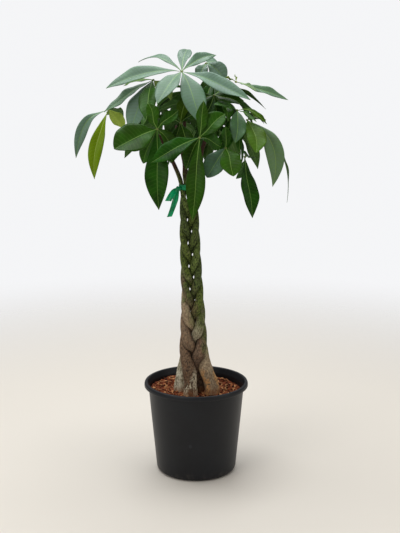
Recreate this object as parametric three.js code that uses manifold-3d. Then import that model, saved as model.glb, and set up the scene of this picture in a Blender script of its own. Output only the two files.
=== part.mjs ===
// A potted money tree: five young trunks plaited together, tied with plastic tape under the
// crown and planted in a plain black nursery pot. Each long-stalked leaf opens like a hand.
// Millimetres, +Z up. The origin is the middle of the pot's base, and the front faces -Y.
import * as THREE from 'three';
import { mergeVertices } from 'three/addons/utils/BufferGeometryUtils.js';
import Module from 'manifold-3d';

const wasm = await Module();
wasm.setup();

const { degToRad, clamp, lerp, smoothstep } = THREE.MathUtils;
const UP = new THREE.Vector3(0, 0, 1);

// The gap kept between two pieces that touch
const GAP = 0.3;

// Pot: height, radii of its foot, wall and turned-down rim, and its drainage holes
const POT_HEIGHT = 233;
const POT_SIDES = 32;
const POT_WALL = 2;
const POT_FLOOR = 3;
const FOOT_RADIUS = 91;
const BASE_RADIUS = 102.5;
const BASE_ROUNDING = 12;
const NECK_RADIUS = 122;
const RIM_RADIUS = 133;
const RIM_DEPTH = 11;
const RIM_THICKNESS = 4;
const RIM_ROUNDING = 3;
const MOUTH_RADIUS = 124.5;
const MOUTH_DEPTH = 14;
const DRAIN_HOLES = 6;
const DRAIN_RADIUS = 6;
const DRAIN_SIDES = 8;
const DRAIN_CIRCLE = 62;
const ROUNDING_STEPS = 2;

// Soil: its level at the wall, how far it is heaped up round the trunks, and how it slopes
const SOIL_LEVEL = 205;
const SOIL_HEAP = 2;
const SOIL_SLOPE = [-0.04, 0.05];
const SOIL_CLEARANCE = 0.8;
const ROOTING_DEPTH = 60;

// Plait: a trunk makes one full figure of eight in TURN, and the plait's left side opens at
// LEFT_HOLE. Its thickness, half width and axis are given at heights above the table.
const TRUNKS = 5;
const TURN = 292;
const LEFT_HOLE = 591;
const PLAIT_FOOT = 310;
const TIE_HEIGHT = 731;
const UNWINDING_BELOW = 60;
const UNWINDING_ABOVE = 40;
const PLAIT_DEPTH = 1.15;
const THICKNESS = [
  [140, 34], [205, 31.5], [250, 26], [300, 19.8], [450, 15.2],
  [620, 13.6], [731, 11.4], [800, 9.5], [960, 6.5],
];
const HALF_WIDTH = [[300, 26.2], [450, 20.4], [620, 18], [731, 15.3]];
const LEAN = [[205, -4], [445, -8.6], [573, -14.5], [731, -19]];
const TRUNK_SIDES = 7;
const TRUNK_STEP = 24;

// Each trunk's place in the soil, its swelling there against the others, and its shoot's tip
const FEET = [[-16, -32], [-42, -4], [9, 1], [41, -14], [5, 33]];
const SWELLING = [1.08, 0.95, 0.9, 1.24, 0.9];
const SWOLLEN_BELOW = 330;
const SLIM_BEFORE = 230;
const TIPS = [[22, -46, 850], [38, 26, 885], [-28, -5, 935], [-90, -12, 860], [-50, 50, 880]];
const SHOOT_BEND = 1.2;

// Tape: the band round the trunks, and the path of each end from the knot at its left
const BAND_HEIGHT = 13;
const BAND_SIDES = 22;
const TAPE_THICKNESS = 1.2;
const TAPE_WIDTH = 14;
const TAPE_ROWS = [0, 0.25, 0.5, 0.75, 1];
const PINCHED = 0.35;
const PINCH_LENGTH = 0.4;
const KNOT = [-43, -15, 728];
const KNOT_SIZE = [7, 5, 7];
const TAPE_ENDS = [
  [KNOT, [-56, -25, 724], [-68, -30, 699]],
  [KNOT, [-50, -27, 700], [-65, -34, 661]],
];

// Leaf stalk, as thick as STALK_FOOT_RADIUS where it springs. It leaves the shoot outward and up
// by shares of its reach, and comes to the joint from below.
const STALK_RADIUS = 1.7;
const STALK_FOOT_RADIUS = 2.6;
const STALK_FOOT_LENGTH = 1 / 3;
const STALK_OUT = 0.22;
const STALK_RISE = 0.25;
const STALK_ARRIVAL = 0.3;
const STALK_SIDES = 5;
const STALK_STEPS = 4;

// The swollen joint where the leaflets meet, with the heart round it that only they share
const JOINT_RADIUS = 3.6;
const HEART_RADIUS = 26;

// Blade: it is folded up along its rib by FOLD, and its edges wave up and down
const BLADE_THICKNESS = 1.2;
const BLADE_ROWS = [0, 0.22, 0.5, 0.79, 1];
const BLADE_COLUMNS = [-1, 0, 1];
const ROOT_HALF_WIDTH = 1.7;
const TIP_HALF_WIDTH = 0.6;
const CREST = 0.45;
const FOLD = degToRad(14);
const WAVE = 2;
const WAVES = 11;
const BLUNT_ABOVE = 0.34;
const BLUNT_RANGE = 0.2;

// Room that a blade or stalk leaves round itself, and the turns it tries to find that room
const ROOM = 1;
const BEND_STEP = 7;
const BEND_LIMIT = 7;
const BOW_STEP = 14;
const BOW_LIMIT = 4;

// The leaves that the front shows. Each has its trunk, how far up the shoot it springs, its
// joint, the way its upper side faces, and its leaflets: tip, width, arch and roll in degrees.
const FRONT_LEAVES = [
  { trunk: 2, from: 0.97, joint: [-34, -10, 1008], face: [0, -0.3, 0.95], leaflets: [
    [-212, -50, 968, 52, 30, -20], [-145, 90, 1034, 34, 44, 0], [-88, -130, 932, 54, 16, 0],
    [129, -60, 941, 48, 14, 26], [50, 70, 1050, 33, 20, 30], [-24, 140, 1068, 36, 22, 0],
    [12, -120, 885, 60, 26, 0]] },
  { trunk: 3, from: 0.93, joint: [-102, -20, 988], face: [-0.3, -0.35, 0.88], leaflets: [
    [-217, -58, 913, 34, 8, -14], [-179, 45, 975, 20, 12, 0], [-164, -80, 877, 58, 18, -10],
    [-102, -95, 875, 48, 16, 0], [-62, 62, 941, 36, 14, 0]] },
  { trunk: 3, from: 0.8, joint: [-208, -34, 918], face: [-0.5, -0.2, 0.84], leaflets: [
    [-286, -55, 805, 28, 54, -74], [-241, -72, 756, 35, 24, -59], [-176, 2, 874, 34, 6, 0],
    [-186, 92, 890, 38, 16, 0]] },
  { trunk: 3, from: 0.55, joint: [-89, -115, 875], face: [-0.1, -0.6, 0.78], leaflets: [
    [-184, -165, 832, 80, 8, -22], [-85, -150, 692, 57, 20, 0], [-133, -92, 796, 46, 8, 0],
    [-112, -96, 930, 32, 6, 0], [-40, -98, 918, 32, 6, 20], [-48, -84, 822, 44, 8, 10]] },
  { trunk: 0, from: 0.7, joint: [9, -125, 856], face: [0.05, -0.65, 0.76], leaflets: [
    [-100, -165, 802, 48, 14, -8], [-8, -150, 667, 46, 22, 0], [-30, -106, 782, 38, 10, 0],
    [19, -92, 934, 30, 8, 20], [64, -118, 914, 50, 8, 0], [58, -104, 834, 40, 10, 20]] },
  { trunk: 0, from: 0.97, joint: [70, -85, 830], face: [0.2, -0.6, 0.78], leaflets: [
    [26, -125, 764, 52, 12, 0], [84, -130, 762, 54, 12, 0], [108, -106, 788, 34, 10, 0],
    [70, -84, 880, 26, 6, 0]] },
  { trunk: 0, from: 0.85, joint: [117, -50, 807], face: [0.5, -0.4, 0.76], leaflets: [
    [135, -80, 664, 44, 0, 24], [98, -14, 752, 30, 10, 0], [130, 34, 800, 32, 12, 0]] },
  { trunk: 1, from: 0.75, joint: [99, -20, 917], face: [0.35, -0.3, 0.88], leaflets: [
    [171, -22, 884, 18, 26, 20], [144, -54, 890, 16, 8, 20], [92, -88, 842, 42, 20, 0],
    [104, -60, 815, 24, 12, 60], [43, -66, 930, 34, 10, 0]] },
  { trunk: 1, from: 0.85, joint: [124, -5, 893], face: [0.5, -0.2, 0.84], leaflets: [
    [186, -30, 734, 46, 74, 70], [133, -84, 810, 54, 22, 20], [230, 50, 686, 26, 80, 0],
    [168, 84, 893, 40, 16, 0]] },
  { trunk: 1, from: 0.97, joint: [97, 10, 984], face: [0.1, -0.1, 0.98], leaflets: [
    [224, 10, 941, 26, 4, 40], [62, 0, 994, 13, 6, 20], [146, -20, 961, 14, 8, 20],
    [94, 6, 1002, 8, 2, 0]] },
  { trunk: 2, from: 0.85, joint: [25, 70, 1030], face: [0.1, -0.5, 0.86], leaflets: [
    [72, 52, 990, 46, 14, 40], [6, 46, 994, 34, 8, 0], [58, 140, 1034, 36, 10, 0]] },
  { trunk: 2, from: 0.4, joint: [-36, -62, 888], face: [-0.05, -0.6, 0.8], leaflets: [
    [-66, -92, 800, 40, 10, 0], [-22, -96, 806, 42, 12, 0], [-92, -62, 900, 34, 8, -20],
    [-20, -60, 958, 34, 6, 0], [14, -70, 918, 28, 6, 20]] },
  { trunk: 1, from: 0.55, joint: [44, -24, 952], face: [0.1, -0.5, 0.86], leaflets: [
    [10, -64, 866, 42, 12, 0], [52, -20, 866, 40, 12, 0], [104, -50, 924, 36, 10, 20],
    [-28, -52, 930, 36, 8, -20], [72, 40, 968, 36, 8, 0]] },
];

// The leaves behind and beside them follow a rule: their joints lie spread over an egg shape
// round the shoots, and each opens outward, drooping most on its outer side.
const BACK_LEAVES = 11;
const BACK_TRUNKS = [1, 4, 2, 3];
const BACK_CENTRE = [-30, 25];
const BACK_REACH = [112, 128];
const BACK_LEVELS = [872, 990];
const BACK_BEARINGS = [8, 156];
const BACK_SPREAD = [0.7549, 0.5698];
const BACK_SWELL = [1.05, 0.72];
const BACK_SPRINGING = [0.62, 0.96];
const BACK_LEAFLET = 142;
const BACK_SHORTENING = 0.055;
const BACK_WIDTH = 0.3;
const BACK_ARCH = 0.17;
const BACK_ROLL = 22;
const BACK_FAN = 285;
const BACK_DROOP = 34;
const BACK_OUTER_DROOP = 14;
const BACK_DROOP_VARIES = 16;
const SEED = 613;

const COLOURS = {
  pot: 0x1f2126,
  soil: 0x6b3d2a,
  tape: 0x0b7a5c,
  trunks: [0x8a7760, 0x8d8b74, 0x6f6152, 0xa07a58, 0x7d7a5c],
  leaves: [0x2f5a26, 0x3b6a2c, 0x274d24],
};

// Park and Miller's random numbers, from 0 to 1
function randomNumbers(seed) {
  let state = seed;
  return () => {
    state = (state * 16807) % 2147483647;
    return state / 2147483647;
  };
}

// A value read from a table of heights and values, with straight lines between them
function valueAt(table, height) {
  const next = table.findIndex(([level]) => level > height);
  if (next === 0) return table[0][1];
  if (next === -1) return table.at(-1)[1];
  const [low, a] = table[next - 1];
  const [high, b] = table[next];
  return lerp(a, b, (height - low) / (high - low));
}

// A closed three.js geometry as a solid that can be joined and cut
function solidOf(geometry) {
  geometry.deleteAttribute('normal');
  geometry.deleteAttribute('uv');
  const merged = mergeVertices(geometry, 1e-5);
  const vertProperties = new Float32Array(merged.attributes.position.array);
  const triVerts = new Uint32Array(merged.index.array);
  return new wasm.Manifold(new wasm.Mesh({ numProp: 3, vertProperties, triVerts }));
}

function geometryOf(solid) {
  const { vertProperties, triVerts } = solid.getMesh();
  const geometry = new THREE.BufferGeometry();
  geometry.setAttribute('position', new THREE.BufferAttribute(vertProperties, 3));
  geometry.setIndex(new THREE.BufferAttribute(triVerts, 1));
  const faceted = geometry.toNonIndexed();
  faceted.computeVertexNormals();
  return faceted;
}

// The largest of a solid's separate bodies
function mainBody(solid) {
  const bodies = solid.decompose();
  return bodies.reduce((largest, body) => (body.volume() > largest.volume() ? body : largest));
}

// A tapered round bar along a curve: a closed cylinder whose rings are moved onto the curve
function barAlong(curve, radiusAt, sides, steps) {
  const bar = new THREE.CylinderGeometry(1, 1, 1, sides, steps);
  const frames = curve.computeFrenetFrames(steps);
  const { position } = bar.attributes;
  const vertex = new THREE.Vector3();
  for (let i = 0; i < position.count; i += 1) {
    const across = vertex.fromBufferAttribute(position, i).clone();
    const ring = Math.round((across.y + 0.5) * steps);
    const centre = curve.getPointAt(ring / steps);
    const radius = radiusAt(ring / steps, centre);
    centre.addScaledVector(frames.normals[ring], across.x * radius);
    centre.addScaledVector(frames.binormals[ring], -across.z * radius);
    position.setXYZ(i, centre.x, centre.y, centre.z);
  }
  return solidOf(bar);
}

// A thin closed sheet over a grid of rows and columns. surface(s, u) gives its middle and its
// normal there. Both faces are split into the same triangles, so that they never cross.
function sheetOver(surface, rows, columns, thickness) {
  const positions = [];
  const index = [];
  const width = columns.length;
  const layer = rows.length * width;
  for (const side of [0.5, -0.5]) {
    for (const s of rows) {
      for (const u of columns) {
        const { point, normal } = surface(s, u);
        positions.push(...point.addScaledVector(normal, side * thickness).toArray());
      }
    }
  }
  for (let row = 0; row < rows.length - 1; row += 1) {
    for (let column = 0; column < width - 1; column += 1) {
      const a = row * width + column;
      const b = a + 1;
      const c = a + width;
      const d = c + 1;
      index.push(a, b, c, b, d, c);
      index.push(layer + a, layer + c, layer + b, layer + b, layer + c, layer + d);
    }
  }
  const rim = [];
  const last = rows.length - 1;
  for (let column = 0; column < width; column += 1) rim.push(column);
  for (let row = 1; row <= last; row += 1) rim.push(row * width + width - 1);
  for (let column = width - 2; column >= 0; column -= 1) rim.push(last * width + column);
  for (let row = last - 1; row > 0; row -= 1) rim.push(row * width);
  rim.forEach((a, i) => {
    const b = rim[(i + 1) % rim.length];
    index.push(a, layer + b, b, a, layer + a, layer + b);
  });
  const geometry = new THREE.BufferGeometry();
  geometry.setAttribute('position', new THREE.Float32BufferAttribute(positions, 3));
  geometry.setIndex(index);
  return solidOf(geometry);
}

// The inner radius of the pot's wall at a height
function innerRadius(height) {
  return lerp(BASE_RADIUS, NECK_RADIUS, height / (POT_HEIGHT - MOUTH_DEPTH)) - POT_WALL;
}

function makePot() {
  const neck = POT_HEIGHT - MOUTH_DEPTH;
  const underRim = POT_HEIGHT - RIM_THICKNESS;
  const skirt = RIM_RADIUS - POT_WALL;
  const profile = new THREE.Path();
  profile.moveTo(0, 0);
  profile.lineTo(FOOT_RADIUS, 0);
  profile.quadraticCurveTo(BASE_RADIUS, 0, BASE_RADIUS + 0.5, BASE_ROUNDING);
  profile.lineTo(NECK_RADIUS, neck);
  profile.lineTo(NECK_RADIUS + POT_WALL, underRim);
  profile.lineTo(skirt, underRim);
  profile.lineTo(skirt, POT_HEIGHT - RIM_DEPTH);
  profile.lineTo(RIM_RADIUS, POT_HEIGHT - RIM_DEPTH);
  profile.lineTo(RIM_RADIUS, POT_HEIGHT - RIM_ROUNDING);
  profile.quadraticCurveTo(RIM_RADIUS, POT_HEIGHT, RIM_RADIUS - RIM_ROUNDING, POT_HEIGHT);
  profile.lineTo(MOUTH_RADIUS + 1, POT_HEIGHT);
  profile.lineTo(MOUTH_RADIUS, POT_HEIGHT - 1);
  profile.lineTo(innerRadius(neck), neck - 1);
  profile.lineTo(innerRadius(BASE_ROUNDING), BASE_ROUNDING);
  profile.quadraticCurveTo(innerRadius(0), POT_FLOOR, FOOT_RADIUS - POT_WALL, POT_FLOOR);
  profile.lineTo(0, POT_FLOOR);
  const points = profile.getPoints(ROUNDING_STEPS);
  let pot = solidOf(new THREE.LatheGeometry(points, POT_SIDES).rotateX(Math.PI / 2));
  for (let hole = 0; hole < DRAIN_HOLES; hole += 1) {
    const bearing = (2 * Math.PI * (hole + 0.5)) / DRAIN_HOLES;
    const drain = new THREE.CylinderGeometry(DRAIN_RADIUS, DRAIN_RADIUS, 4 * POT_FLOOR, DRAIN_SIDES);
    drain.rotateX(Math.PI / 2);
    drain.translate(DRAIN_CIRCLE * Math.cos(bearing), DRAIN_CIRCLE * Math.sin(bearing), 0);
    pot = pot.subtract(solidOf(drain));
  }
  return pot;
}

// The soil fills the pot and is heaped up in the middle, uneven round its surface
function makeSoil(trunkHoles) {
  const bottom = POT_FLOOR + GAP;
  const foot = FOOT_RADIUS - POT_WALL - 3;
  const low = innerRadius(BASE_ROUNDING) - SOIL_CLEARANCE;
  const edge = innerRadius(SOIL_LEVEL) - SOIL_CLEARANCE;
  const profile = new THREE.Path();
  profile.moveTo(0, bottom);
  profile.lineTo(foot, bottom);
  profile.quadraticCurveTo(innerRadius(0) - 1, bottom, low, BASE_ROUNDING + 2);
  profile.lineTo(edge, SOIL_LEVEL);
  for (const radius of [84, 42, 0]) {
    const heap = SOIL_HEAP * Math.cos((radius / edge) * (Math.PI / 2)) ** 2;
    profile.lineTo(radius, SOIL_LEVEL + heap);
  }
  const points = profile.getPoints(ROUNDING_STEPS);
  const body = new THREE.LatheGeometry(points, POT_SIDES).rotateX(Math.PI / 2);
  const { position } = body.attributes;
  for (let i = 0; i < position.count; i += 1) {
    const x = position.getX(i);
    const y = position.getY(i);
    const unevenness = Math.sin(x * 0.09 + 1) * Math.cos(y * 0.08) + Math.sin((x + y) * 0.05);
    const slope = SOIL_SLOPE[0] * x + SOIL_SLOPE[1] * y;
    if (position.getZ(i) > SOIL_LEVEL - 1) position.setZ(i, position.getZ(i) + unevenness + slope);
  }
  return trunkHoles.reduce((soil, hole) => soil.subtract(hole), solidOf(body));
}

// The height that a trunk's winding has reached: it slows to a stop below and above the plait
function windingHeight(height) {
  if (height < PLAIT_FOOT) {
    const below = Math.min(PLAIT_FOOT - height, UNWINDING_BELOW);
    return PLAIT_FOOT - below + below ** 2 / (2 * UNWINDING_BELOW);
  }
  if (height > TIE_HEIGHT) {
    const above = Math.min(height - TIE_HEIGHT, UNWINDING_ABOVE);
    return TIE_HEIGHT + above - above ** 2 / (2 * UNWINDING_ABOVE);
  }
  return height;
}

// A trunk's place in the plait, on a figure of eight seen from above
function plaitPoint(trunk, height) {
  const angle = degToRad(18 + 72 * (trunk - 2) + (360 * (height - LEFT_HOLE)) / TURN);
  const x = valueAt(LEAN, height) + valueAt(HALF_WIDTH, height) * Math.sin(angle);
  const y = -PLAIT_DEPTH * valueAt(THICKNESS, height) * Math.sin(2 * angle);
  return new THREE.Vector3(x, y, height);
}

// A trunk's centre at any height, from its foot in the soil to the tip of its shoot
function trunkPoint(trunk, height) {
  const centre = plaitPoint(trunk, windingHeight(height)).setZ(height);
  if (height < PLAIT_FOOT) {
    const [x, y] = FEET[trunk];
    const foot = plaitPoint(trunk, windingHeight(SOIL_LEVEL)).setZ(height);
    const apart = smoothstep(PLAIT_FOOT - height, 0, PLAIT_FOOT - SOIL_LEVEL);
    centre.addScaledVector(new THREE.Vector3(x, y, height).sub(foot), apart);
  }
  if (height > TIE_HEIGHT) {
    const [x, y, top] = TIPS[trunk];
    const straight = plaitPoint(trunk, windingHeight(top)).setZ(height);
    const apart = ((height - TIE_HEIGHT) / (top - TIE_HEIGHT)) ** SHOOT_BEND;
    centre.addScaledVector(new THREE.Vector3(x, y, height).sub(straight), apart);
  }
  return centre;
}

function trunkRadius(trunk, height) {
  const swollen = clamp((SWOLLEN_BELOW - height) / (SWOLLEN_BELOW - SLIM_BEFORE), 0, 1);
  return (valueAt(THICKNESS, height) / 2) * lerp(1, SWELLING[trunk], swollen);
}

class TrunkCurve extends THREE.Curve {
  constructor(trunk, bottom) {
    super();
    this.trunk = trunk;
    this.bottom = bottom;
  }

  getPoint(t, target = new THREE.Vector3()) {
    return target.copy(trunkPoint(this.trunk, lerp(this.bottom, TIPS[this.trunk][2], t)));
  }
}

// One trunk from its rooted end to its shoot's tip, or with room round it, to cut its hole
function makeTrunk(trunk, room = 0) {
  const curve = new TrunkCurve(trunk, SOIL_LEVEL - ROOTING_DEPTH - room);
  const steps = Math.round(curve.getLength() / TRUNK_STEP);
  return barAlong(curve, (_, centre) => trunkRadius(trunk, centre.z) + room, TRUNK_SIDES, steps);
}

// The frame of a leaflet: its rib as a curve, and the side its blade spreads to
function leafletFrame(joint, face, [x, y, z, width, arch, roll]) {
  const tip = new THREE.Vector3(x, y, z);
  const chord = tip.clone().sub(joint).normalize();
  const side = chord.clone().cross(face).normalize();
  const above = side.clone().cross(chord);
  const crest = joint.clone().lerp(tip, CREST).addScaledVector(above, arch);
  const rib = new THREE.QuadraticBezierCurve3(joint.clone(), crest, tip);
  const blunt = clamp((width / tip.distanceTo(joint) - BLUNT_ABOVE) / BLUNT_RANGE, 0, 1);
  return { rib, side, width, roll: degToRad(roll), blunt };
}

// A leaflet's blade: widest past its middle, folded up along the rib, its edges gently waved
function leafletSurface({ rib, side, width, roll, blunt }, room) {
  return (s, u) => {
    const along = rib.getTangent(s);
    const across = side.clone().applyAxisAngle(along, roll * Math.min(1, s * 2.5));
    const normal = across.clone().cross(along);
    const outline = Math.sin(Math.PI * s ** (1.3 + 0.15 * blunt)) ** (1 - 0.3 * blunt);
    const least = lerp(ROOT_HALF_WIDTH, TIP_HALF_WIDTH, s);
    const half = Math.max(least, (width / 2) * outline) + room;
    const wave = WAVE * Math.sin(s * WAVES + width) * outline * u ** 2;
    const lift = half * Math.sin(FOLD) * Math.abs(u) + wave;
    const point = rib.getPoint(s).addScaledVector(across, half * Math.cos(FOLD) * u);
    return { point: point.addScaledVector(normal, lift), normal };
  };
}

function makeLeaflet(joint, face, leaflet, room = 0) {
  const surface = leafletSurface(leafletFrame(joint, face, leaflet), room);
  return sheetOver(surface, BLADE_ROWS, BLADE_COLUMNS, BLADE_THICKNESS + 2 * room);
}

// The turns that a leaflet tries, the smallest first: down or up, and to either side
function bends() {
  const turns = [];
  for (let down = -BEND_LIMIT; down <= BEND_LIMIT; down += 1) {
    for (let aside = -BEND_LIMIT; aside <= BEND_LIMIT; aside += 1) turns.push([down, aside]);
  }
  const later = ([down, aside]) => (down < 0 ? 0 : 0.1) + (aside < 0 ? 0 : 0.05);
  const size = ([down, aside]) => Math.hypot(down, aside * 1.3) + later([down, aside]);
  return turns.sort((a, b) => size(a) - size(b));
}

// A leaflet whose tip is turned about the joint
function bentLeaflet(joint, face, [x, y, z, ...rest], [down, aside]) {
  const reach = new THREE.Vector3(x, y, z).sub(joint);
  const side = reach.clone().cross(face).normalize();
  reach.applyAxisAngle(side, degToRad(-down * BEND_STEP));
  reach.applyAxisAngle(face, degToRad(aside * BEND_STEP));
  return [...joint.clone().add(reach).toArray(), ...rest];
}

// What already stands, as solids with the leaf that owns each, and whether a new one is clear
const standing = [];

function isClear(solid, owners) {
  const box = solid.boundingBox();
  return standing.every((other) => {
    if (owners.includes(other.owner)) return true;
    const { min, max } = other.box;
    const apart = [0, 1, 2].some((i) => box.min[i] > max[i] || box.max[i] < min[i]);
    return apart || solid.intersect(other.solid).isEmpty();
  });
}

function stand(solid, owner) {
  standing.push({ solid, owner, box: solid.boundingBox() });
  return solid;
}

// A leaf stalk rises from its shoot and comes up under the joint, bowed clear of what stands
function makeStalk(leaf, [bowX, bowY], room = 0) {
  const foot = trunkPoint(leaf.trunk, leaf.foot);
  const reach = leaf.joint.distanceTo(foot);
  const outward = leaf.joint.clone().sub(foot).setZ(0).normalize();
  const bow = new THREE.Vector3(bowX, bowY, 0);
  const start = foot.clone().add(bow);
  start.addScaledVector(outward, reach * STALK_OUT).addScaledVector(UP, reach * STALK_RISE);
  const end = leaf.joint.clone().add(bow).addScaledVector(leaf.face, -reach * STALK_ARRIVAL);
  const curve = new THREE.CubicBezierCurve3(foot, start, end, leaf.joint);
  const slim = (t) => Math.min(1, t / STALK_FOOT_LENGTH);
  const radius = (t) => lerp(STALK_FOOT_RADIUS, STALK_RADIUS, slim(t)) + room;
  return barAlong(curve, radius, STALK_SIDES, STALK_STEPS);
}

function makeJoint(leaf, room = 0) {
  const ball = new THREE.OctahedronGeometry(JOINT_RADIUS + room);
  return solidOf(ball.translate(...leaf.joint.toArray()));
}

function bows() {
  const places = [];
  for (let i = -BOW_LIMIT; i <= BOW_LIMIT; i += 1) {
    for (let j = -BOW_LIMIT; j <= BOW_LIMIT; j += 1) places.push([i * BOW_STEP, j * BOW_STEP]);
  }
  return places.sort((a, b) => Math.hypot(...a) - Math.hypot(...b));
}

// The leaflets of a leaf made by rule: fanned out from its bearing, the side ones shorter
function backLeaflets(joint, bearing, random) {
  const count = random() < 0.5 ? 5 : 6;
  const leaflets = [];
  for (let j = 0; j < count; j += 1) {
    const place = j - (count - 1) / 2;
    const turned = degToRad((place * BACK_FAN) / count);
    const heading = bearing + turned;
    const shortened = 1 - BACK_SHORTENING * place ** 2;
    const length = BACK_LEAFLET * shortened * lerp(0.86, 1.1, random());
    const extra = BACK_OUTER_DROOP * Math.cos(turned) + BACK_DROOP_VARIES * random();
    const droop = degToRad(BACK_DROOP + extra);
    const level = new THREE.Vector3(Math.cos(heading), Math.sin(heading), 0);
    const way = level.multiplyScalar(Math.cos(droop)).setZ(-Math.sin(droop));
    const tip = joint.clone().addScaledVector(way, length);
    const roll = lerp(-BACK_ROLL, BACK_ROLL, random());
    leaflets.push([...tip.toArray(), length * BACK_WIDTH, length * BACK_ARCH, roll]);
  }
  return leaflets;
}

function backLeaves() {
  const random = randomNumbers(SEED);
  return Array.from({ length: BACK_LEAVES }, (_, i) => {
    const bearing = degToRad(lerp(...BACK_BEARINGS, (0.5 + i * BACK_SPREAD[0]) % 1));
    const level = (0.5 + i * BACK_SPREAD[1]) % 1;
    const outward = new THREE.Vector3(Math.cos(bearing), Math.sin(bearing), 0);
    const swell = lerp(...BACK_SWELL, level) * lerp(0.85, 1.1, random());
    const joint = new THREE.Vector3(
      BACK_CENTRE[0] + BACK_REACH[0] * swell * outward.x,
      BACK_CENTRE[1] + BACK_REACH[1] * swell * outward.y,
      lerp(...BACK_LEVELS, level),
    );
    const face = outward.clone().multiplyScalar(0.4).add(UP).toArray();
    const distances = BACK_TRUNKS.map((trunk) => new THREE.Vector3(...TIPS[trunk]).distanceTo(joint));
    const trunk = BACK_TRUNKS[distances.indexOf(Math.min(...distances))];
    const leaflets = backLeaflets(joint, bearing, random);
    return { trunk, from: lerp(...BACK_SPRINGING, level), joint: joint.toArray(), face, leaflets };
  });
}

// All the stalks are set first, then each leaf's leaflets turn clear of what stands there
function makeLeaves() {
  const leaves = [...FRONT_LEAVES, ...backLeaves()].map((leaf, i) => ({
    ...leaf,
    owner: `leaf_${String(i + 1).padStart(2, '0')}`,
    joint: new THREE.Vector3(...leaf.joint),
    face: new THREE.Vector3(...leaf.face).normalize(),
    foot: lerp(TIE_HEIGHT, TIPS[leaf.trunk][2], leaf.from),
  }));
  const allBows = bows();
  for (const leaf of leaves) {
    const owners = [leaf.owner, `stem_${leaf.trunk + 1}`];
    const shoot = trunkHoles[leaf.trunk];
    const bow = allBows.find((place) => {
      const stalk = mainBody(makeStalk(leaf, place, ROOM).subtract(shoot));
      return isClear(stalk.add(makeJoint(leaf, ROOM)), owners);
    });
    leaf.solid = mainBody(makeStalk(leaf, bow).subtract(shoot)).add(makeJoint(leaf));
    stand(leaf.solid, leaf.owner);
  }
  const allBends = bends();
  return leaves.map(({ owner, joint, face, leaflets, solid }) => {
    const heart = solidOf(new THREE.OctahedronGeometry(HEART_RADIUS).translate(...joint.toArray()));
    const blades = leaflets.map((leaflet) => {
      const turned = (turn) => bentLeaflet(joint, face, leaflet, turn);
      const bend = allBends.find((turn) => {
        const blade = makeLeaflet(joint, face, turned(turn), ROOM);
        return isClear(blade, [owner]) && isClear(blade.subtract(heart), []);
      });
      return stand(makeLeaflet(joint, face, turned(bend)), owner);
    });
    return { owner, solid: mainBody(blades.reduce((leaf, blade) => leaf.add(blade), solid)) };
  });
}

// How far the trunks reach at a bearing within the tape's height, with a gap left for the tape
function trunksReach(bearing, middle) {
  const reaches = [];
  for (let trunk = 0; trunk < TRUNKS; trunk += 1) {
    for (const end of [-0.5, 0, 0.5]) {
      const height = TIE_HEIGHT + end * BAND_HEIGHT;
      const { x, y } = trunkPoint(trunk, height);
      const along = (x - middle) * Math.cos(bearing) + y * Math.sin(bearing);
      reaches.push(along + trunkRadius(trunk, height) + 3 * GAP);
    }
  }
  return Math.max(...reaches);
}

// A loose end of the tape, pinched where it leaves the knot
function makeTapeEnd(points) {
  const curve = new THREE.QuadraticBezierCurve3(...points.map((point) => new THREE.Vector3(...point)));
  const surface = (s, u) => {
    const along = curve.getTangent(s);
    const across = along.clone().cross(new THREE.Vector3(0, -1, 0)).normalize();
    const normal = across.clone().cross(along);
    const half = (TAPE_WIDTH / 2) * Math.min(1, lerp(PINCHED, 1, s / PINCH_LENGTH));
    return { point: curve.getPoint(s).addScaledVector(across, u * half), normal };
  };
  return sheetOver(surface, TAPE_ROWS, BLADE_COLUMNS, TAPE_THICKNESS);
}

// The tape: a band drawn tight round the five trunks, a flat knot at its left and two ends
function makeTape() {
  const middle = valueAt(LEAN, TIE_HEIGHT);
  const outline = new THREE.Shape();
  const hole = new THREE.Path();
  for (let i = 0; i < BAND_SIDES; i += 1) {
    const bearing = (2 * Math.PI * i) / BAND_SIDES;
    const inner = trunksReach(bearing, middle);
    const outer = inner + TAPE_THICKNESS;
    const draw = i === 0 ? 'moveTo' : 'lineTo';
    outline[draw](middle + outer * Math.cos(bearing), outer * Math.sin(bearing));
    hole[draw](middle + inner * Math.cos(bearing), inner * Math.sin(bearing));
  }
  outline.closePath();
  hole.closePath();
  outline.holes.push(hole);
  const band = new THREE.ExtrudeGeometry(outline, { depth: BAND_HEIGHT, bevelEnabled: false });
  band.translate(0, 0, TIE_HEIGHT - BAND_HEIGHT / 2);
  const knot = new THREE.SphereGeometry(1, 8, 6).scale(...KNOT_SIZE).translate(...KNOT);
  const tied = solidOf(band).add(solidOf(knot));
  return TAPE_ENDS.reduce((tape, points) => tape.add(makeTapeEnd(points)), tied);
}

function meshOf(name, solid, colour, roughness) {
  const material = new THREE.MeshStandardMaterial({ color: colour, roughness, metalness: 0 });
  const mesh = new THREE.Mesh(geometryOf(solid), material);
  mesh.name = name;
  return mesh;
}

const plant = new THREE.Group();
const trunkSolids = Array.from({ length: TRUNKS }, (_, trunk) => makeTrunk(trunk));
const trunkHoles = trunkSolids.map((_, trunk) => makeTrunk(trunk, GAP));

plant.add(meshOf('pot', makePot(), COLOURS.pot, 0.55));
plant.add(meshOf('soil', makeSoil(trunkHoles), COLOURS.soil, 0.95));
trunkSolids.forEach((solid, trunk) => {
  const name = `stem_${trunk + 1}`;
  plant.add(meshOf(name, stand(solid, name), COLOURS.trunks[trunk], 0.8));
});
plant.add(meshOf('ribbon', stand(makeTape(), 'ribbon'), COLOURS.tape, 0.3));
makeLeaves().forEach(({ owner, solid }, i) => {
  plant.add(meshOf(owner, solid, COLOURS.leaves[i % COLOURS.leaves.length], 0.45));
});

export default plant;
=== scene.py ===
import math
import random
from functools import partial

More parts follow.
